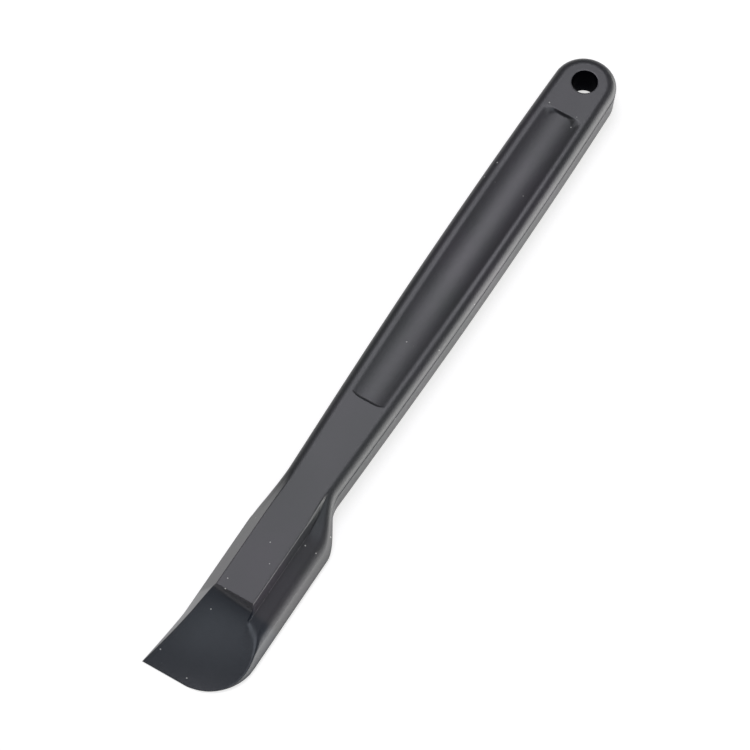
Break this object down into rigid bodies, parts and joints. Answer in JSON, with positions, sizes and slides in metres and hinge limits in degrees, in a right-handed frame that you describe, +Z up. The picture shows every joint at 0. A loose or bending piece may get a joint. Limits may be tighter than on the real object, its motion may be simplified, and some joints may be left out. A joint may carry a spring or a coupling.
{
  "type": "spudger tool",
  "caption": "Slim one-piece black plastic spudger with a flat rounded handle, thumb pocket, hang hole and a ribbed scoop blade for prying and scraping.",
  "frame": {"origin": "on the hang hole's axis, at the flat underside", "axes": "+X runs from the hang hole to the blade, +Z is up through the flat top, +Y is towards the blade's round corner"},
  "size_m": [0.1777, 0.0218, 0.009],
  "materials": {
    "body_plastic": "satin black moulded nylon, smoother on the blade"
  },
  "bodies": {
    "root": {"spudger_body": "body_plastic"}
  },
  "joints": []
}
